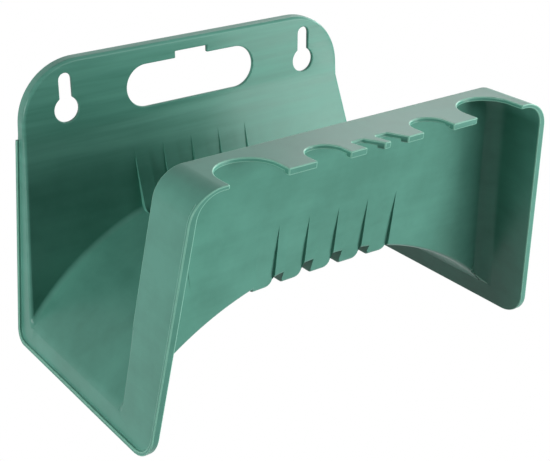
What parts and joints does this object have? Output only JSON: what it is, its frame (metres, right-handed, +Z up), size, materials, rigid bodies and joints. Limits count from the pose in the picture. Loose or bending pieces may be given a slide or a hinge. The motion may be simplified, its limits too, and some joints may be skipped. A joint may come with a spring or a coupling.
{
  "type": "wall hose hanger",
  "caption": "One-piece wall hanger for a garden hose: keyhole back plate, arched saddle across a deep trough, and a front panel whose shelf has scallops for fittings.",
  "frame": {"origin": "on the wall plane, at the middle of the back plate's top edge", "axes": "+Z up, -Y out from the wall, X along the wall"},
  "size_m": [0.2738, 0.1963, 0.1655],
  "materials": {
    "green_plastic": "semi-matte moulded polypropylene with faint flow streaks"
  },
  "bodies": {
    "root": {"hanger_moulding": "green_plastic"}
  },
  "joints": []
}
